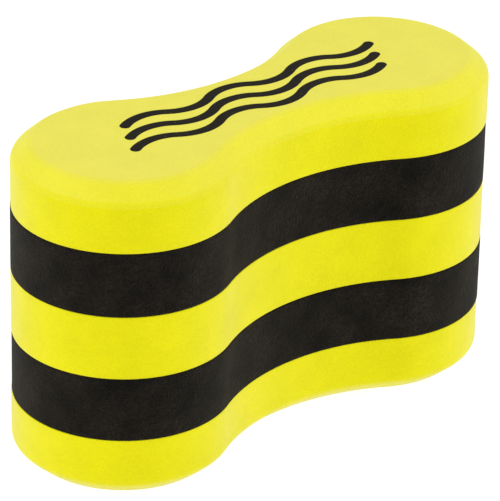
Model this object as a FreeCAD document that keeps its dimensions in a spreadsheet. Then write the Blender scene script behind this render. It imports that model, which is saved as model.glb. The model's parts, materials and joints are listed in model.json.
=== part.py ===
import FreeCAD, Part
import math
import os

import Sketcher

# Foam pull buoy: five closed-cell EVA foam layers of one peanut-shaped outline, stacked and bonded
# face to face, with a bevel round the outer edge of both end layers and a printed mark on the top.
#
# Frame: millimetres, +Z up through the stack, +X along the long side of the outline, origin at the
# centre of the flat bottom face. The swimmer's thighs close on the two waists, at -Y and +Y.

DIMENSIONS = {
    "overall_length": 230.0,  # end to end of the two lobes, along X
    "lobe_diameter": 92.0,  # width of a lobe, along Y
    "waist_width": 55.0,  # width across the middle, along Y
    "layer_thickness": 28.0,  # one foam layer, along Z
    "bond_thickness": 0.15,  # one film of contact adhesive between two layers
    "bond_inset": 0.6,  # how far a film stays back from the layers' side wall
    "bevel_inset": 8.0,  # bevel's width, measured across the flat face
    "bevel_drop": 7.0,  # bevel's height, measured down the side wall
    "print_depth": 0.2,  # the mark's film, pressed flush into the foam
    "wave_length": 44.0,  # one full wave of the mark
    "wave_height": 3.2,  # crest above the wave's middle line
    "wave_stroke": 4.6,  # width of one printed line
    "wave_pitch": 9.6,  # from one line to the next, along Y
    "wave_shift": 5.0,  # how much further along X each line starts than the one before it
}

LAYERS = [
    "bottom_layer",
    "lower_stripe_layer",
    "middle_layer",
    "upper_stripe_layer",
    "top_layer",
]
BONDS = ["bottom_bond_film", "lower_bond_film", "upper_bond_film", "top_bond_film"]
PRINT = "printed_mark"
WAVE_LINES = 3
HALF_WAVES = 6  # half waves in each line

VOLUME_TOLERANCE = 1e-3  # share of the worked-out volume

# Sizes worked out from the driving ones, as expressions on the sheet.
LOBE_RADIUS = "Dimensions.lobe_diameter / 2"
LOBE_OFFSET = "(Dimensions.overall_length - Dimensions.lobe_diameter) / 2"
WAIST_HALF = "Dimensions.waist_width / 2"
WAIST_RADIUS = (
    f"(({LOBE_OFFSET}) * ({LOBE_OFFSET}) + ({WAIST_HALF}) * ({WAIST_HALF})"
    f" - ({LOBE_RADIUS}) * ({LOBE_RADIUS})) / (2 * ({LOBE_RADIUS} - {WAIST_HALF}))"
)
LAYER_STEP = "(Dimensions.layer_thickness + Dimensions.bond_thickness)"
PRINT_BASE = (
    f"{len(LAYERS)} * Dimensions.layer_thickness + {len(BONDS)} * Dimensions.bond_thickness"
    " - Dimensions.print_depth"
)
WAVE_ANGLE = "2 * atan(4 * Dimensions.wave_height / Dimensions.wave_length)"
WAVE_RADIUS = f"Dimensions.wave_length / (4 * sin({WAVE_ANGLE}))"

UP = FreeCAD.Vector(0, 0, 1)


def make_sheet(doc):
    """The spreadsheet of driving dimensions: a name in column A, its value and alias in column B."""
    sheet = doc.addObject("Spreadsheet::Sheet", "Dimensions")
    for row, (name, value) in enumerate(DIMENSIONS.items(), start=1):
        sheet.set(f"A{row}", name)
        sheet.set(f"B{row}", str(value))
        sheet.setAlias(f"B{row}", name)
    doc.recompute()
    return sheet


def origin_plane(body, role):
    """One of a body's own origin planes."""
    return next(plane for plane in body.Origin.OriginFeatures if plane.Role == role)


def arc(centre_x, centre_y, radius, start, end):
    """A counter-clockwise arc in the sketch plane, its angles in radians."""
    circle = Part.Circle(FreeCAD.Vector(centre_x, centre_y, 0), UP, radius)
    return Part.ArcOfCircle(circle, start, end)


def bind(sketch, constraint, name, expression):
    """Adds a dimension to a sketch under a name and ties it to the sheet."""
    index = sketch.addConstraint(constraint)
    sketch.renameConstraint(index, name)
    sketch.setExpression(f"Constraints.{name}", expression)


def waist_radius(lobe_radius, lobe_offset, waist_half):
    """Radius of the hollow arc that meets both lobes smoothly, as WAIST_RADIUS says."""
    run = lobe_offset**2 + waist_half**2 - lobe_radius**2
    return run / (2 * (lobe_radius - waist_half))


def outline_sketch(body, sheet, inset_name=None):
    """The peanut outline: two lobe arcs and two hollow waist arcs, tangent where they meet."""
    inset = getattr(sheet, inset_name) if inset_name else 0.0
    take = f" - Dimensions.{inset_name}" if inset_name else ""
    give = f" + Dimensions.{inset_name}" if inset_name else ""

    lobe = sheet.lobe_diameter / 2
    offset = (sheet.overall_length - sheet.lobe_diameter) / 2
    waist_half = sheet.waist_width / 2
    waist = waist_radius(lobe, offset, waist_half)
    rise = waist_half + waist
    lobe_turn = math.atan2(rise, -offset)
    waist_turn = math.atan2(offset, rise)

    sketch = body.newObject("Sketcher::SketchObject", "Outline")
    sketch.AttachmentSupport = [(origin_plane(body, "XY_Plane"), "")]
    sketch.MapMode = "FlatFace"
    right, back, left, front = sketch.addGeometry(
        [
            arc(offset, 0, lobe - inset, -lobe_turn, lobe_turn),
            arc(0, rise, waist + inset, -math.pi / 2 - waist_turn, -math.pi / 2 + waist_turn),
            arc(-offset, 0, lobe - inset, math.pi - lobe_turn, math.pi + lobe_turn),
            arc(0, -rise, waist + inset, math.pi / 2 - waist_turn, math.pi / 2 + waist_turn),
        ],
        False,
    )
    start, end, centre, x_axis, origin = 1, 2, 3, -1, (-1, 1)
    for first, first_end, second, second_end in (
        (right, end, back, end),
        (left, start, back, start),
        (left, end, front, end),
        (right, start, front, start),
    ):
        sketch.addConstraint(
            Sketcher.Constraint("Tangent", first, first_end, second, second_end)
        )
    for lobe_arc in (right, left):
        sketch.addConstraint(
            Sketcher.Constraint("PointOnObject", lobe_arc, centre, x_axis)
        )
    sketch.addConstraint(Sketcher.Constraint("Equal", right, left))
    sketch.addConstraint(Sketcher.Constraint("Equal", back, front))
    bind(
        sketch,
        Sketcher.Constraint("DistanceX", *origin, right, centre, offset),
        "right_offset",
        LOBE_OFFSET,
    )
    bind(
        sketch,
        Sketcher.Constraint("DistanceX", left, centre, *origin, offset),
        "left_offset",
        LOBE_OFFSET,
    )
    bind(
        sketch,
        Sketcher.Constraint("Radius", right, lobe - inset),
        "lobe_radius",
        LOBE_RADIUS + take,
    )
    bind(
        sketch,
        Sketcher.Constraint("Radius", back, waist + inset),
        "waist_radius",
        WAIST_RADIUS + give,
    )
    return sketch


def padded_outline(doc, sheet, label, thickness_name, base_height, inset_name=None):
    """A body with the outline padded to a thickness, standing at a height in the stack."""
    body = doc.addObject("PartDesign::Body", label)
    body.Label = label
    sketch = outline_sketch(body, sheet, inset_name)
    pad = body.newObject("PartDesign::Pad", "Slab")
    pad.Profile = sketch
    pad.setExpression("Length", f"Dimensions.{thickness_name}")
    body.setExpression(".Placement.Base.z", base_height)
    doc.recompute()
    return body


def bevel_face(doc, body, height):
    """Bevels the outer edge of the pad's flat face at the given height in the body's own frame."""
    pad = body.Tip
    rim = [
        f"Edge{number}"
        for number, edge in enumerate(pad.Shape.Edges, start=1)
        if all(abs(vertex.Z - height) < 1e-6 for vertex in edge.Vertexes)
    ]
    bevel = body.newObject("PartDesign::Chamfer", "Bevel")
    bevel.Base = (pad, rim)
    bevel.ChamferType = "Two distances"
    bevel.setExpression("Size", "Dimensions.bevel_inset")
    bevel.setExpression("Size2", "Dimensions.bevel_drop")
    doc.recompute()
    flat = max(
        (face for face in bevel.Shape.Faces if abs(face.CenterOfMass.z - height) < 1e-6),
        key=lambda face: face.Area,
    )
    wanted = DIMENSIONS["lobe_diameter"] - 2 * DIMENSIONS["bevel_inset"]
    if abs(flat.BoundBox.YLength - wanted) > 0.01:  # the sizes landed the other way round
        bevel.FlipDirection = not bevel.FlipDirection
        doc.recompute()
    return bevel


def wave_line(doc, sheet, number):
    """One printed line: a row of equal tangent arcs, widened to the stroke and given its depth."""
    half = sheet.wave_length / 2
    angle = 2 * math.atan(4 * sheet.wave_height / sheet.wave_length)
    radius = sheet.wave_length / (4 * math.sin(angle))
    drop = radius - sheet.wave_height

    path = doc.addObject("Sketcher::SketchObject", f"WavePath{number}")
    arcs = []
    for step in range(HALF_WAVES):
        crest = 1 if step % 2 == 0 else -1
        middle = crest * math.pi / 2
        arcs.append(arc((step + 0.5) * half, -crest * drop, radius, middle - angle, middle + angle))
    path.addGeometry(arcs, False)

    start, end, x_axis, origin = 1, 2, -1, (-1, 1)
    left = [end if step % 2 == 0 else start for step in range(HALF_WAVES)]
    right = [start if step % 2 == 0 else end for step in range(HALF_WAVES)]
    path.addConstraint(Sketcher.Constraint("Coincident", 0, left[0], *origin))
    for step in range(HALF_WAVES):
        path.addConstraint(Sketcher.Constraint("PointOnObject", step, right[step], x_axis))
        if step:
            path.addConstraint(
                Sketcher.Constraint("Tangent", step - 1, right[step - 1], step, left[step])
            )
            path.addConstraint(Sketcher.Constraint("Equal", 0, step))
    bind(path, Sketcher.Constraint("Radius", 0, radius), "wave_radius", WAVE_RADIUS)
    bind(
        path,
        Sketcher.Constraint("DistanceX", 0, left[0], 0, right[0], half),
        "half_wave",
        "Dimensions.wave_length / 2",
    )
    middle_line = (WAVE_LINES - 1) / 2
    path.setExpression(
        ".Placement.Base.x",
        f"({number - middle_line}) * Dimensions.wave_shift"
        f" - {HALF_WAVES} * Dimensions.wave_length / 4",
    )
    path.setExpression(".Placement.Base.y", f"({number - middle_line}) * Dimensions.wave_pitch")
    path.setExpression(".Placement.Base.z", PRINT_BASE)
    doc.recompute()

    stroke = doc.addObject("Part::Offset2D", f"WaveStroke{number}")
    stroke.Source = path
    stroke.setExpression("Value", "Dimensions.wave_stroke / 2")
    stroke.Mode = "Pipe"
    stroke.Join = "Arc"
    stroke.Fill = True
    doc.recompute()

    ink = doc.addObject("Part::Extrusion", f"WaveInk{number}")
    ink.Base = stroke
    ink.DirMode = "Custom"
    ink.Dir = UP
    ink.setExpression("LengthFwd", "Dimensions.print_depth")
    doc.recompute()
    return ink


def make_layers(doc, sheet):
    """The five foam layers, bottom to top, the two outer ones bevelled."""
    bodies = [
        padded_outline(doc, sheet, label, "layer_thickness", f"{index} * {LAYER_STEP}")
        for index, label in enumerate(LAYERS)
    ]
    bevel_face(doc, bodies[0], 0.0)
    bevel_face(doc, bodies[-1], sheet.layer_thickness)
    return bodies


def make_bonds(doc, sheet):
    """The four films of adhesive, each on top of its layer."""
    return [
        padded_outline(
            doc,
            sheet,
            label,
            "bond_thickness",
            f"{index} * {LAYER_STEP} + Dimensions.layer_thickness",
            "bond_inset",
        )
        for index, label in enumerate(BONDS)
    ]


def make_print(doc, sheet):
    """The printed mark: wavy lines that share one node."""
    mark = doc.addObject("Part::Compound", PRINT)
    mark.Label = PRINT
    mark.Links = [wave_line(doc, sheet, number) for number in range(WAVE_LINES)]
    doc.recompute()
    return mark


def recess_print(doc, layer, mark):
    """The top layer with a shallow recess that the printed mark fills flush."""
    layer.Label = f"{LAYERS[-1]}_blank"
    recessed = doc.addObject("Part::Cut", LAYERS[-1])
    recessed.Base = layer
    recessed.Tool = mark
    recessed.Label = LAYERS[-1]
    doc.recompute()
    return recessed


def outline_area(inset=0.0):
    """Area inside the outline, from its arcs, to compare the solids with."""
    lobe = DIMENSIONS["lobe_diameter"] / 2
    offset = (DIMENSIONS["overall_length"] - DIMENSIONS["lobe_diameter"]) / 2
    waist_half = DIMENSIONS["waist_width"] / 2
    waist = waist_radius(lobe, offset, waist_half)
    rise = waist_half + waist
    lobe_turn = math.atan2(rise, -offset)
    waist_turn = math.atan2(offset, rise)
    lobes = 2 * lobe_turn * (lobe - inset) ** 2
    waists = 2 * waist_turn * (waist + inset) ** 2
    return lobes + 2 * offset * rise - waists


def check(doc, sub_parts):
    """Stops the script if a feature failed, a shape is bad or a volume isn't the one expected."""
    failed = [item.Name for item in doc.Objects if {"Invalid", "Error"} & set(item.State)]
    if failed:
        raise RuntimeError(f"features that failed to recompute: {failed}")
    slab = outline_area() * DIMENSIONS["layer_thickness"]
    film = outline_area(DIMENSIONS["bond_inset"]) * DIMENSIONS["bond_thickness"]
    expected = {LAYERS[1]: slab, LAYERS[2]: slab, LAYERS[3]: slab}
    expected.update({label: film for label in BONDS})
    for part in sub_parts:
        shape = part.Shape
        if shape.isNull() or not shape.isValid() or not shape.Solids:
            raise RuntimeError(f"{part.Label} has no valid solid")
        wanted = expected.get(part.Label)
        if wanted and abs(shape.Volume / wanted - 1) > VOLUME_TOLERANCE:
            raise RuntimeError(f"{part.Label} is {shape.Volume:.1f} mm3, not {wanted:.1f}")


def main():
    doc = FreeCAD.newDocument("PullBuoy")
    sheet = make_sheet(doc)
    layers = make_layers(doc, sheet)
    bonds = make_bonds(doc, sheet)
    mark = make_print(doc, sheet)
    top = recess_print(doc, layers[-1], mark)
    sub_parts = [*layers[:-1], top, *bonds, mark]
    doc.recompute()
    check(doc, sub_parts)

    os.makedirs("parts", exist_ok=True)
    for part in sub_parts:
        part.Shape.exportStep(f"parts/{part.Label}.step")
        box = part.Shape.BoundBox
        print(
            f"{part.Label}: {len(part.Shape.Solids)} solid(s), {part.Shape.Volume:.1f} mm3,"
            f" Z {box.ZMin:.2f} to {box.ZMax:.2f}, X {box.XLength:.2f}, Y {box.YLength:.2f}"
        )


main()
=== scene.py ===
import json
import math

import bpy
import numpy as np
from mathutils import Matrix, Vector, noise


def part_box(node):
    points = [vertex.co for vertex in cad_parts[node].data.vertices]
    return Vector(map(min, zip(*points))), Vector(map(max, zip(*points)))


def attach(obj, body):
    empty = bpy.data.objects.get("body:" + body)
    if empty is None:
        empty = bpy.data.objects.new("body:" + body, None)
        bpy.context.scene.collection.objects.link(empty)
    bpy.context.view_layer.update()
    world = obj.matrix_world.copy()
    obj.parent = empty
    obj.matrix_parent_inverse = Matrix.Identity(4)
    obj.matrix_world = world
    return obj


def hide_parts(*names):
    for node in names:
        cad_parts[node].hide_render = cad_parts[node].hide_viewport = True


# A foam pull buoy: five bonded layers of closed-cell EVA foam with a wave mark printed on the top.
# Every length is in metres, in the CAD frame: +Z up, +X along the outline, origin under its middle.

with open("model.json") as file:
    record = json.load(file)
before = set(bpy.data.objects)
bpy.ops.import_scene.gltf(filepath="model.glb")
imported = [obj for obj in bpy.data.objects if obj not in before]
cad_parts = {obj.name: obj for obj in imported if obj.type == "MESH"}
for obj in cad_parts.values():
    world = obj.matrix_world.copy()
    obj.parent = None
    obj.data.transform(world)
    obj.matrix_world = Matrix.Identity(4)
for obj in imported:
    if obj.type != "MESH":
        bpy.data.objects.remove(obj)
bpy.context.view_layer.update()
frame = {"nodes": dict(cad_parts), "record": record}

MM = 0.001
ROOT = "root"

# Outline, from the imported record: its box, and the mount on the waist.
LENGTH, WIDTH, HEIGHT = frame["record"]["size"]["bbox_m"]
SADDLE = next(m for m in frame["record"]["mounts"] if m["name"] == "back_thigh_saddle")
LOBE_RADIUS = WIDTH / 2
LOBE_OFFSET = LENGTH / 2 - LOBE_RADIUS
WAIST_HALF = SADDLE["pos_m"][1]
WAIST_RADIUS = (LOBE_OFFSET**2 + WAIST_HALF**2 - LOBE_RADIUS**2) / (
    2 * (LOBE_RADIUS - WAIST_HALF)
)

# Foam layers, bottom to top, and their surfaces
LAYERS = ["bottom_layer", "lower_stripe_layer", "middle_layer", "upper_stripe_layer", "top_layer"]
MESH_STEP = 1.4 * MM  # spacing of the mesh along walls and faces
BEVEL_INSET = 8.0 * MM
BEVEL_DROP = 7.0 * MM
CREASE_TOP = 5.5 * MM  # radius where the bevel meets the flat face
CREASE_SIDE = 4.6 * MM  # radius where the bevel meets the side wall
SEAM_RADIUS = 0.3 * MM  # a cut layer's edge beside a bond line
SEAM_REACH = 2 * SEAM_RADIUS  # how far in from the wall a layer's profile starts
CORNER_FINENESS = 2  # mesh steps on a rounded corner for each one on a flat stretch
CORNER_STEPS = 3  # and at least this many
RELIEF_SLOW = 0.16 * MM  # long swells of the foam's surface
RELIEF_FINE = 0.05 * MM  # finer unevenness
SWELL_SIZE = 34 * MM
UNEVEN_SIZE = 9 * MM
LAYER_SLIP = 0.12 * MM  # how far a layer sits out of line with its neighbours
TOP_SEED = 12.0  # of the top layer's relief, which the print follows
# Where the top layer goes from one yellow finish to the next, by the upward part of its normal
FINISH_RISES = (0.12, 0.62, 0.80, 0.97)
CUT_FINISH = 0
# The skin finish, whose colour carries a painted reflection of the overhead light
SKIN_FINISH_PAINTED_REFLECTION = len(FINISH_RISES)
CORNER_TURN = math.radians(60)  # where a cap's mesh turns its corners on each lobe

# The printed wave mark, as the CAD node's box places it
WAVE_LINES = 3
HALF_WAVES = 6
WAVE_LENGTH = 44 * MM
WAVE_HEIGHT = 3.2 * MM
WAVE_STROKE = 4.6 * MM
WAVE_PITCH = 9.6 * MM
WAVE_SHIFT = 5.0 * MM
PRINT_PROUD = 0.06 * MM
PRINT_SINK = 0.12 * MM
PRINT_STEP = 1.0 * MM  # spacing of the print's mesh along a line
PRINT_END_STEPS = 9  # steps round half of a line's round end
PRINT_END_TURN = math.radians(87)  # how far round that end the mesh goes before it is closed flat
# A line's cross-section on one side: share of its half width, and height over the foam
PRINT_EDGE = [(-1.0, -PRINT_SINK), (-1.0, 0.2 * PRINT_PROUD), (-0.96, 0.8 * PRINT_PROUD)]
PRINT_CROWN = (-0.85, -0.45, 0.0, 0.45, 0.85)  # shares of the half width, all at full height
CREST_TURN = 2 * math.atan(4 * WAVE_HEIGHT / WAVE_LENGTH)  # half the angle of a half wave's arc
CREST_RADIUS = WAVE_LENGTH / (4 * math.sin(CREST_TURN))
HALF_WAVE_ARC = 2 * CREST_TURN * CREST_RADIUS

# Colours, as linear light
YELLOW = (0.790, 0.738, 0.001)
# The skin's paler, bluer yellow: partly the skin's own tone, partly a painted reflection of the
# overhead light on the flat face
YELLOW_SKIN_PAINTED_REFLECTION = (0.748, 0.690, 0.038)
BLACK = (0.0068, 0.0052, 0.0038)
INK = (0.0085, 0.006, 0.003)
HAZE = (1.0, 0.93, 0.72)  # of light that grazes the foam
CLOUD_SIZE = 16 * MM  # of the foam's cloudy colour
CLOUD_RANGE = (0.3, 0.7)  # of the noise, from the darkest cloud to the lightest
GRAIN_SIZE = 2.6 * MM  # of its uneven gloss and surface
GRAIN_RANGE = (0.25, 0.75)
GRAIN_DEPTH = 0.5 * MM
GLOSS_SPREAD = 0.05  # of the roughness, each way
INK_SHADES = (0.5, 1.5)  # darkest and lightest ink, as factors of its colour
INK_GRAIN_SIZE = 0.7 * MM
INK_GRAIN_DEPTH = 0.2 * MM
PINHOLE_SPACING = 2.2 * MM
PINHOLE_EDGE = (0.05, 0.09)  # where a pinhole fades into the ink, as shares of the spacing
PINHOLE_SHADE = 0.35  # of the yellow seen through a pinhole
ADHESIVE_DARK = (0.30, 0.21, 0.05)
ADHESIVE_LIGHT = (0.52, 0.42, 0.16)
ADHESIVE_PATCH = 5 * MM
WHITE = (1.0, 1.0, 1.0)

# Foam finishes, as foam_material takes them
CUT_YELLOW = {
    "colour": YELLOW,
    "roughness": 0.55,
    "specular": 0.05,
    "haze": 0.50,
    "haze_roughness": 0.40,
    "cell": 0.55 * MM,
    "pit": 0.30,
    "mottle": 0.04,
    "speckle": 0.035,
}
SANDED_YELLOW = {
    "colour": YELLOW,
    "roughness": 0.52,
    "specular": 0.46,
    "haze": 0.12,
    "haze_roughness": 0.5,
    "cell": 0.55 * MM,
    "pit": 0.25,
    "mottle": 0.03,
    "speckle": 0.03,
}
# The sheet's skin on the flat top and underside; its colour is partly a painted reflection of the
# overhead light
SKIN_YELLOW_PAINTED_REFLECTION = {
    "colour": YELLOW_SKIN_PAINTED_REFLECTION,
    "roughness": 0.45,
    "specular": 0.55,
    "haze": 0.0,
    "haze_roughness": 0.5,
    "cell": 0.45 * MM,
    "pit": 0.12,
    "mottle": 0.025,
    "speckle": 0.025,
}
CUT_BLACK = {
    "colour": BLACK,
    "roughness": 0.75,
    "specular": 0.045,
    "haze": 0.05,
    "haze_roughness": 0.60,
    "cell": 0.7 * MM,
    "pit": 0.45,
    "mottle": 0.85,
    "speckle": 0.6,
}

# Studio
SURROUND = 0.82
FLOOR_SIZE = 8.0
FLOOR_GAP = 0.02 * MM
FLOOR_ALBEDO = 0.20
FLOOR_GLOW_NEAR = 0.94  # light from the table around the buoy
FLOOR_GLOW_FAR = 0.76
FLOOR_POOL = 0.45  # radius over which the table's light falls off
LIGHT_DISTANCE = 1.6
SOFTBOXES = [
    # name, azimuth and elevation in degrees, size in metres, power in watts
    ("key_above_left", -112, 46, 1.0, 7.4),
    ("fill_right", 50, 30, 1.0, 6.6),
]

# Camera, as angles and distances about the middle of the box
VIEW_AZIMUTH = math.radians(-41.05)
VIEW_ELEVATION = math.radians(27.21)
VIEW_ROLL = math.radians(1.27)
VIEW_DISTANCE = 1.5951
VIEW_RIGHT = 0.91 * MM
VIEW_UP = 1.42 * MM
LENS_MM = 274.3
SENSOR_MM = 36.0
CLIP_NEAR = 0.05
CLIP_FAR = 50.0


# ---------------------------------------------------------------- directions and camera


def towards(azimuth, elevation):
    """The direction out from the buoy at an azimuth and elevation; azimuth 0 is the front."""
    return Vector(
        (
            math.sin(azimuth) * math.cos(elevation),
            -math.cos(azimuth) * math.cos(elevation),
            math.sin(elevation),
        )
    )


def make_camera():
    """A long lens that looks down on the near lobe from the front left."""
    back = towards(VIEW_AZIMUTH, VIEW_ELEVATION)
    level_right = (-back).cross(Vector((0, 0, 1))).normalized()
    level_up = level_right.cross(-back)
    right = math.cos(VIEW_ROLL) * level_right + math.sin(VIEW_ROLL) * level_up
    up = math.cos(VIEW_ROLL) * level_up - math.sin(VIEW_ROLL) * level_right
    place = Vector((0, 0, HEIGHT / 2)) + back * VIEW_DISTANCE - right * VIEW_RIGHT - up * VIEW_UP

    data = bpy.data.cameras.new("camera")
    data.lens = LENS_MM
    data.sensor_width = SENSOR_MM
    data.sensor_fit = "HORIZONTAL"
    data.clip_start = CLIP_NEAR
    data.clip_end = CLIP_FAR
    camera = bpy.data.objects.new("camera", data)
    turn = Matrix((right, up, back)).transposed().to_4x4()
    camera.matrix_world = Matrix.Translation(place) @ turn
    bpy.context.scene.collection.objects.link(camera)
    bpy.context.scene.camera = camera


# ---------------------------------------------------------------- outline and profile


def arc_points(centre, radius, start, end, step):
    """Points and outward directions along an arc, its first end included and its last left out."""
    count = max(2, round(abs(end - start) * abs(radius) / step))
    angles = start + (end - start) * np.arange(count) / count
    spokes = np.stack([np.cos(angles), np.sin(angles)], axis=1)
    return np.array(centre) + radius * spokes, spokes


def peanut_outline(step):
    """The outline anticlockwise from the right lobe's tip: points and outward normals."""
    rise = WAIST_HALF + WAIST_RADIUS
    lobe_turn = math.atan2(rise, -LOBE_OFFSET)
    waist_turn = math.atan2(LOBE_OFFSET, rise)
    lobe = arc_points((LOBE_OFFSET, 0), LOBE_RADIUS, 0, lobe_turn, step)
    waist = arc_points((0, rise), WAIST_RADIUS, -math.pi / 2 + waist_turn, -math.pi / 2, step)
    quarter = np.concatenate([lobe[0], waist[0]])
    normals = np.concatenate([lobe[1], -waist[1]])
    middle = np.array([[0.0, WAIST_HALF]])
    middle_normal = np.array([[0.0, 1.0]])
    mirror_x = np.array([-1.0, 1.0])
    back_half = np.concatenate([quarter, middle, quarter[::-1] * mirror_x])
    back_normals = np.concatenate([normals, middle_normal, normals[::-1] * mirror_x])
    mirror_y = np.array([1.0, -1.0])
    front_half = back_half[1:-1][::-1] * mirror_y
    front_normals = back_normals[1:-1][::-1] * mirror_y
    return (
        np.concatenate([back_half, front_half]),
        np.concatenate([back_normals, front_normals]),
    )


def rounded_profile(corners, radii, step):
    """A path of (outset, height) up the outside, its inner corners rounded: points and normals."""
    corners = [np.array(c, float) for c in corners]
    points = []
    normals = []

    def right_of(direction):
        return np.array([direction[1], -direction[0]])

    def add_run(start, end, with_end):
        length = np.linalg.norm(end - start)
        outward = right_of((end - start) / length)
        count = max(1, math.ceil(length / step))
        for share in np.arange(count + with_end) / count:
            points.append(start + (end - start) * share)
            normals.append(outward)

    at = corners[0]
    for index, radius in enumerate(radii, start=1):
        before, corner, after = corners[index - 1 : index + 2]
        come = (corner - before) / np.linalg.norm(corner - before)
        leave = (after - corner) / np.linalg.norm(after - corner)
        turn = math.acos(come @ leave)
        reach = radius * math.tan(turn / 2)
        start = corner - come * reach
        add_run(at, start, 0)
        count = max(CORNER_STEPS, math.ceil(CORNER_FINENESS * radius * turn / step))
        for angle in turn * np.arange(count) / count:
            outward = (
                right_of(come) * math.sin(turn - angle) + right_of(leave) * math.sin(angle)
            ) / math.sin(turn)
            points.append(start + (outward - right_of(come)) * radius)
            normals.append(outward)
        at = corner + leave * reach
    add_run(at, corners[-1], 1)
    return np.array(points), np.array(normals)


# ---------------------------------------------------------------- foam layers


def relief(point, seed):
    """How far the foam's surface stands from true at a point: slow swells and finer unevenness."""
    place = Vector(point)
    slow = noise.noise(place / SWELL_SIZE + Vector((seed, 0.0, 0.0)))
    fine = noise.noise(place / UNEVEN_SIZE + Vector((0.0, seed, 0.0)))
    return RELIEF_SLOW * slow + RELIEF_FINE * fine


def cap_sides(ring_count):
    """Ring indices of a cap's four sides, counted from the front and from the right."""
    half = ring_count // 2
    corner = round(CORNER_TURN * LOBE_RADIUS / MESH_STEP)
    across = np.arange(2 * corner + 1)
    along = np.arange(half - 2 * corner + 1)
    right = (across - corner) % ring_count
    left = half + corner - across
    front = (ring_count - corner - along) % ring_count
    back = corner + along
    return right, left, front, back


def cap_patch(ring, sides):
    """A Coons patch that fills a flat ring of points with even four-sided cells."""
    right, left, front, back = (ring[side] for side in sides)
    u = np.linspace(0, 1, len(front))[:, None, None]
    v = np.linspace(0, 1, len(right))[None, :, None]
    ruled_along = (1 - u) * right[None] + u * left[None]
    ruled_across = (1 - v) * front[:, None] + v * back[:, None]
    corners = (
        (1 - u) * (1 - v) * right[0]
        + (1 - u) * v * right[-1]
        + u * (1 - v) * left[0]
        + u * v * left[-1]
    )
    return ruled_along + ruled_across - corners


def cap_faces(rows, columns):
    """Corner positions, as (row, column), of each cell of a cap, anticlockwise from above."""
    for i in range(rows - 1):
        for j in range(columns - 1):
            yield (i, j), (i, j + 1), (i + 1, j + 1), (i + 1, j)


def mesh_object(name, points, faces, materials, material_indices=None):
    """A smooth-shaded mesh object with its materials."""
    mesh = bpy.data.meshes.new(name)
    mesh.from_pydata(points, [], faces)
    for material in materials:
        mesh.materials.append(material)
    mesh.polygons.foreach_set("use_smooth", [True] * len(faces))
    if material_indices is not None:
        mesh.polygons.foreach_set("material_index", material_indices)
    mesh.update()
    piece = bpy.data.objects.new(name, mesh)
    bpy.context.scene.collection.objects.link(piece)
    return piece


def layer_finish(node, outset, rise):
    """Index of the finish of a strip of a layer, from its outset and how far it faces up."""
    if "stripe" in node:
        return CUT_FINISH
    if node == "top_layer":
        return int(np.searchsorted(FINISH_RISES, rise))
    return SKIN_FINISH_PAINTED_REFLECTION if outset <= -BEVEL_INSET else CUT_FINISH


def settle(place, normal, node, seed):
    """A point of a layer, moved by its slip and its relief: upwards only on the top skin."""
    push = relief(place, seed)
    lift = normal[2] if node == "top_layer" and normal[2] > 0 else 0.0
    return (
        place[0] + LAYER_SLIP * math.cos(seed) + push * normal[0],
        place[1] + LAYER_SLIP * math.sin(seed) + push * normal[1],
        place[2] + push * lift,
    )


def cap_index(rows, columns, ring_start, sides, first_inner):
    """Point numbers of a cap's cells: its ring's own points, and new ones inside it."""
    right, left, front, back = sides
    index = np.empty((rows, columns), int)
    index[0] = ring_start + right
    index[-1] = ring_start + left
    index[:, 0] = ring_start + front
    index[:, -1] = ring_start + back
    inner = (rows - 2, columns - 2)
    index[1:-1, 1:-1] = first_inner + np.arange(inner[0] * inner[1]).reshape(inner)
    return index


def foam_layer(node, profile, materials, seed):
    """One foam layer: its profile carried round the outline, and a patch over each end."""
    outsets, normals = profile
    outline, outward = peanut_outline(MESH_STEP)
    count = len(outline)
    points = []
    faces = []
    finishes = []

    rings = []
    for (outset, height), (sideways, upwards) in zip(outsets, normals):
        ring = outline + outward * outset
        rings.append(ring)
        for flat_place, flat_normal in zip(ring, outward):
            normal = (*(flat_normal * sideways), upwards)
            points.append(settle((*flat_place, height), normal, node, seed))
    for r in range(len(rings) - 1):
        finish = layer_finish(node, outsets[r : r + 2, 0].mean(), normals[r : r + 2, 1].mean())
        for j in range(count):
            k = (j + 1) % count
            faces.append((r * count + j, r * count + k, (r + 1) * count + k, (r + 1) * count + j))
            finishes.append(finish)

    sides = cap_sides(count)
    for ring_index, up in ((0, -1), (len(rings) - 1, 1)):
        patch = cap_patch(rings[ring_index], sides)
        rows, columns = patch.shape[:2]
        outset, height = outsets[ring_index]
        index = cap_index(rows, columns, ring_index * count, sides, len(points))
        for place in patch[1:-1, 1:-1].reshape(-1, 2):
            points.append(settle((*place, height), (0, 0, up), node, seed))
        finish = layer_finish(node, outset, up)
        for cell in cap_faces(rows, columns):
            corners = [int(index[corner]) for corner in cell]
            faces.append(corners if up > 0 else corners[::-1])
            finishes.append(finish)

    piece = mesh_object(f"foam_{node}", points, faces, materials, finishes)
    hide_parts(node)
    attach(piece, ROOT)


def plain_profile(low, high):
    """A middle layer: a straight wall with slightly broken edges."""
    corners = [(-SEAM_REACH, low), (0, low), (0, high), (-SEAM_REACH, high)]
    return rounded_profile(corners, [SEAM_RADIUS, SEAM_RADIUS], MESH_STEP)


def bevelled_profile(low, high):
    """The top layer: a straight wall, the bevel, and the rim of the flat face."""
    corners = [
        (-SEAM_REACH, low),
        (0, low),
        (0, high - BEVEL_DROP),
        (-BEVEL_INSET, high),
        (-BEVEL_INSET - CREASE_TOP, high),
    ]
    return rounded_profile(corners, [SEAM_RADIUS, CREASE_SIDE, CREASE_TOP], MESH_STEP)


def flipped_profile(profile, low, high):
    """The same profile upside down, for the bottom layer."""
    points, normals = profile
    points = points[::-1] * [1, -1] + [0, low + high]
    return points, normals[::-1] * [1, -1]


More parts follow.
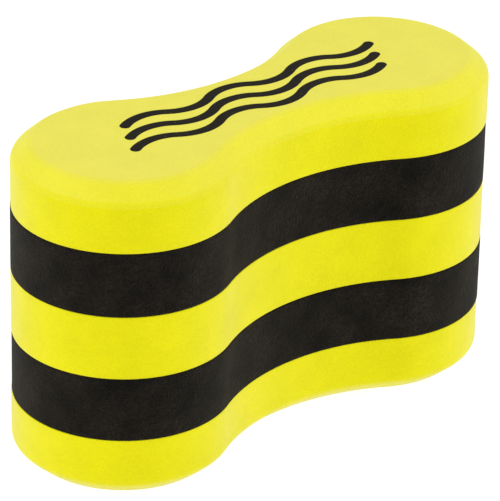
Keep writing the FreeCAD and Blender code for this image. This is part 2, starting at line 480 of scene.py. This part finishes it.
def make_layers(yellow, black):
    """The five foam layers, bottom to top."""
    for number, node in enumerate(LAYERS):
        low, high = (corner.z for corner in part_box(node))
        if node == "top_layer":
            profile = bevelled_profile(low, high)
        elif node == "bottom_layer":
            profile = flipped_profile(bevelled_profile(low, high), low, high)
        else:
            profile = plain_profile(low, high)
        slot, materials = ("black_foam", black) if "stripe" in node else ("yellow_foam", yellow)
        foam_layer(node, profile, materials, seed=TOP_SEED * (number + 1) / len(LAYERS))


# ---------------------------------------------------------------- printed mark


def wave_station(along):
    """Middle and unit tangent of a wave line at a length along it, straight past either end."""
    on_path = min(max(along, 0.0), HALF_WAVES * HALF_WAVE_ARC)
    step = min(int(on_path / HALF_WAVE_ARC), HALF_WAVES - 1)
    side = 1 if step % 2 == 0 else -1
    angle = (on_path - step * HALF_WAVE_ARC) / CREST_RADIUS - CREST_TURN
    middle = np.array(
        [
            (step + 0.5) * WAVE_LENGTH / 2 + CREST_RADIUS * math.sin(angle),
            side * (CREST_RADIUS * math.cos(angle) - CREST_RADIUS + WAVE_HEIGHT),
        ]
    )
    tangent = np.array([math.cos(angle), -side * math.sin(angle)])
    return middle + tangent * (along - on_path), tangent


def wave_stations():
    """Lengths along a wave line and the stroke's half width at each, its ends round."""
    total = HALF_WAVES * HALF_WAVE_ARC
    half = WAVE_STROKE / 2
    turns = np.linspace(PRINT_END_TURN, 0, PRINT_END_STEPS)
    past = half * np.sin(turns)
    end_widths = half * np.cos(turns)
    inner = np.arange(PRINT_STEP, total - PRINT_STEP / 2, PRINT_STEP)
    lengths = np.concatenate([-past, inner, total + past[::-1]])
    widths = np.concatenate([end_widths, np.full(len(inner), half), end_widths[::-1]])
    return lengths, widths


def make_print(ink):
    """Three stacked wavy lines of ink, a film that follows the top skin's relief."""
    low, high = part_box("printed_mark")
    middle = (low + high) / 2
    crown = [(share, PRINT_PROUD) for share in PRINT_CROWN]
    far_edge = [(-share, height) for share, height in reversed(PRINT_EDGE)]
    section = PRINT_EDGE + crown + far_edge
    lengths, widths = wave_stations()
    points = []
    faces = []
    for line in range(WAVE_LINES):
        first = len(points)
        row = line - (WAVE_LINES - 1) / 2
        start = np.array(
            [
                middle.x + row * WAVE_SHIFT - HALF_WAVES * WAVE_LENGTH / 4,
                middle.y + row * WAVE_PITCH,
            ]
        )
        for along, width in zip(lengths, widths):
            centre, tangent = wave_station(along)
            across = np.array([-tangent[1], tangent[0]])
            for share, height in section:
                x, y = start + centre - across * share * width
                skin = HEIGHT + relief((x, y, HEIGHT), TOP_SEED)
                points.append((x, y, skin + height))
        span = len(section)
        for i in range(len(lengths) - 1):
            for j in range(span):
                k = (j + 1) % span
                here = first + i * span
                faces.append((here + j, here + k, here + span + k, here + span + j))
        last = first + (len(lengths) - 1) * span
        faces.append(list(range(first, first + span))[::-1])
        faces.append(list(range(last, last + span)))

    piece = mesh_object("wave_print", points, faces, [ink])
    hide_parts("printed_mark")
    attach(piece, ROOT)


# ---------------------------------------------------------------- materials


def add_node(tree, kind, inputs=None, **settings):
    """A shader node with its settings, and its inputs as values or as links from other sockets."""
    node = tree.nodes.new(kind)
    for name, value in settings.items():
        setattr(node, name, value)
    for name, value in (inputs or {}).items():
        if isinstance(value, bpy.types.NodeSocket):
            tree.links.new(value, node.inputs[name])
        else:
            node.inputs[name].default_value = value
    return node


def remap(tree, value, source, target, **settings):
    """A value carried from one range to another."""
    inputs = {
        "Value": value,
        "From Min": source[0],
        "From Max": source[1],
        "To Min": target[0],
        "To Max": target[1],
    }
    return add_node(tree, "ShaderNodeMapRange", inputs, **settings).outputs["Result"]


def mix_colours(tree, share, one, other):
    """A mix from one colour to another by a share; on this node, sockets go by number."""
    mix = add_node(tree, "ShaderNodeMix", {0: share, 6: one, 7: other}, data_type="RGBA")
    return mix.outputs[2]


def new_material(name):
    """An empty node material, its tree and its Principled shader."""
    material = bpy.data.materials.new(name)
    material.use_nodes = True
    tree = material.node_tree
    return material, tree, tree.nodes["Principled BSDF"]


def scaled(colour, factor):
    """A colour made lighter or darker, with the alpha that a colour socket needs."""
    return (*(channel * factor for channel in colour), 1.0)


def foam_material(
    name, colour, roughness, specular, haze, haze_roughness, cell, pit, mottle, speckle
):
    """Closed-cell foam: even cells as shallow pits, cloudy colour, and a speckle per cell."""
    material, tree, shader = new_material(name)
    place = add_node(tree, "ShaderNodeTexCoord").outputs["Object"]
    clouds = add_node(
        tree,
        "ShaderNodeTexNoise",
        {"Vector": place, "Scale": 1 / CLOUD_SIZE, "Detail": 4.0, "Roughness": 0.6},
    )
    cells = add_node(
        tree, "ShaderNodeTexVoronoi", {"Vector": place, "Scale": 1 / cell, "Randomness": 1.0}
    )
    grain = add_node(
        tree,
        "ShaderNodeTexNoise",
        {"Vector": place, "Scale": 1 / GRAIN_SIZE, "Detail": 5.0, "Roughness": 0.7},
    )

    cloudy = remap(tree, clouds.outputs["Fac"], CLOUD_RANGE, (0.0, 1.0))
    tint = mix_colours(tree, cloudy, scaled(colour, 1 - mottle), scaled(colour, 1 + mottle))
    cell_shade = add_node(tree, "ShaderNodeSeparateColor", {"Color": cells.outputs["Color"]})
    brightness = remap(tree, cell_shade.outputs["Red"], (0.0, 1.0), (1 - speckle, 1 + speckle))
    speckled = add_node(tree, "ShaderNodeHueSaturation", {"Color": tint, "Value": brightness})
    tree.links.new(speckled.outputs["Color"], shader.inputs["Base Color"])

    gloss_range = (roughness - GLOSS_SPREAD, roughness + GLOSS_SPREAD)
    gloss = remap(tree, grain.outputs["Fac"], GRAIN_RANGE, gloss_range)
    tree.links.new(gloss, shader.inputs["Roughness"])

    pits = add_node(
        tree,
        "ShaderNodeBump",
        {"Height": cells.outputs["Distance"], "Distance": cell, "Strength": pit},
    )
    uneven = add_node(
        tree,
        "ShaderNodeBump",
        {
            "Height": grain.outputs["Fac"],
            "Distance": GRAIN_DEPTH,
            "Strength": pit,
            "Normal": pits.outputs["Normal"],
        },
    )
    tree.links.new(uneven.outputs["Normal"], shader.inputs["Normal"])
    shader.inputs["Specular IOR Level"].default_value = specular
    shader.inputs["Sheen Weight"].default_value = haze
    shader.inputs["Sheen Roughness"].default_value = haze_roughness
    shader.inputs["Sheen Tint"].default_value = scaled(HAZE, 1)
    return material


def halfway(one, other):
    """The finish between two others, for the rounded crease where they meet."""
    return {key: (np.array(one[key]) + np.array(other[key])) / 2 for key in one}


def yellow_finishes():
    """Yellow foam: cut wall, lower crease, sanded bevel, upper crease, the sheet's own skin; the
    skin's colour, and half of it in the upper crease, is partly a painted reflection.
    """
    crease = halfway(CUT_YELLOW, SANDED_YELLOW)
    rim = halfway(SANDED_YELLOW, SKIN_YELLOW_PAINTED_REFLECTION)
    return [
        foam_material("yellow_foam_cut", **CUT_YELLOW),
        foam_material("yellow_foam_crease", **crease),
        foam_material("yellow_foam_sanded", **SANDED_YELLOW),
        foam_material("yellow_foam_rim_painted_reflection", **rim),
        foam_material("yellow_foam_skin_painted_reflection", **SKIN_YELLOW_PAINTED_REFLECTION),
    ]


def black_finishes():
    """Black foam, cut all round."""
    return [foam_material("black_foam_cut", **CUT_BLACK)]


def print_material():
    """Screen-printed ink: flat black with the foam's fine grain showing through, and pinholes."""
    material, tree, shader = new_material("print_ink_black")
    place = add_node(tree, "ShaderNodeTexCoord").outputs["Object"]
    holes = add_node(
        tree,
        "ShaderNodeTexVoronoi",
        {"Vector": place, "Scale": 1 / PINHOLE_SPACING, "Randomness": 1.0},
    )
    grain = add_node(
        tree,
        "ShaderNodeTexNoise",
        {"Vector": place, "Scale": 1 / INK_GRAIN_SIZE, "Detail": 3.0, "Roughness": 0.6},
    )
    pinhole = remap(tree, holes.outputs["Distance"], PINHOLE_EDGE, (1.0, 0.0))
    darkest, lightest = (scaled(INK, shade) for shade in INK_SHADES)
    ink = mix_colours(tree, grain.outputs["Fac"], darkest, lightest)
    worn = mix_colours(tree, pinhole, ink, scaled(YELLOW, PINHOLE_SHADE))
    tree.links.new(worn, shader.inputs["Base Color"])
    bump = add_node(
        tree,
        "ShaderNodeBump",
        {"Height": grain.outputs["Fac"], "Distance": INK_GRAIN_DEPTH, "Strength": 0.12},
    )
    tree.links.new(bump.outputs["Normal"], shader.inputs["Normal"])
    shader.inputs["Roughness"].default_value = 0.5
    shader.inputs["Specular IOR Level"].default_value = 0.045
    return material


def adhesive_material():
    """Dried contact adhesive: amber, a little patchy."""
    material, tree, shader = new_material("contact_adhesive")
    place = add_node(tree, "ShaderNodeTexCoord").outputs["Object"]
    patches = add_node(
        tree, "ShaderNodeTexNoise", {"Vector": place, "Scale": 1 / ADHESIVE_PATCH, "Detail": 4.0}
    )
    dark, light = scaled(ADHESIVE_DARK, 1), scaled(ADHESIVE_LIGHT, 1)
    amber = mix_colours(tree, patches.outputs["Fac"], dark, light)
    tree.links.new(amber, shader.inputs["Base Color"])
    shader.inputs["Roughness"].default_value = 0.4
    return material


def finish_bonds():
    """Gives the CAD films between the layers their adhesive."""
    adhesive = adhesive_material()
    for node, film in frame["nodes"].items():
        if node.endswith("bond_film"):
            for place in film.material_slots:
                place.material = adhesive


# ---------------------------------------------------------------- studio


def make_floor():
    """A wide pale table that gives off light, so it is nearly white and shows no shadow."""
    half = FLOOR_SIZE / 2
    corners = [(-half, -half, 0), (half, -half, 0), (half, half, 0), (-half, half, 0)]
    material, tree, shader = new_material("light_table")
    place = add_node(tree, "ShaderNodeTexCoord").outputs["Object"]
    distance = add_node(tree, "ShaderNodeVectorMath", {0: place}, operation="LENGTH")
    glow = remap(
        tree,
        distance.outputs["Value"],
        (FLOOR_POOL, 2 * FLOOR_POOL),
        (FLOOR_GLOW_NEAR, FLOOR_GLOW_FAR),
        interpolation_type="SMOOTHSTEP",
    )
    tree.links.new(glow, shader.inputs["Emission Strength"])
    shader.inputs["Base Color"].default_value = scaled(WHITE, FLOOR_ALBEDO)
    shader.inputs["Roughness"].default_value = 0.9
    shader.inputs["Specular IOR Level"].default_value = 0.0
    shader.inputs["Emission Color"].default_value = scaled(WHITE, 1)
    floor = mesh_object("floor", corners, [(0, 1, 2, 3)], [material])
    floor.location.z = -FLOOR_GAP


def softbox(name, azimuth, elevation, size, power):
    """A square softbox that faces the buoy from a direction, in degrees."""
    aim = Vector((0, 0, HEIGHT / 2))
    away = towards(math.radians(azimuth), math.radians(elevation))
    data = bpy.data.lights.new(name, "AREA")
    data.shape = "SQUARE"
    data.size = size
    data.energy = power
    light = bpy.data.objects.new(name, data)
    light.location = aim + away * LIGHT_DISTANCE
    light.rotation_euler = away.to_track_quat("Z", "Y").to_euler()
    bpy.context.scene.collection.objects.link(light)


def make_studio():
    """White surroundings and the softboxes."""
    world = bpy.data.worlds.new("white_surround")
    world.use_nodes = True
    background = world.node_tree.nodes["Background"]
    background.inputs["Color"].default_value = scaled(WHITE, 1)
    background.inputs["Strength"].default_value = SURROUND
    bpy.context.scene.world = world
    for name, azimuth, elevation, size, power in SOFTBOXES:
        softbox(name, azimuth, elevation, size, power)
    bpy.context.scene.view_settings.view_transform = "Standard"


# ---------------------------------------------------------------- the scene

make_camera()
make_studio()
make_floor()
make_layers(yellow_finishes(), black_finishes())
make_print(print_material())
finish_bonds()
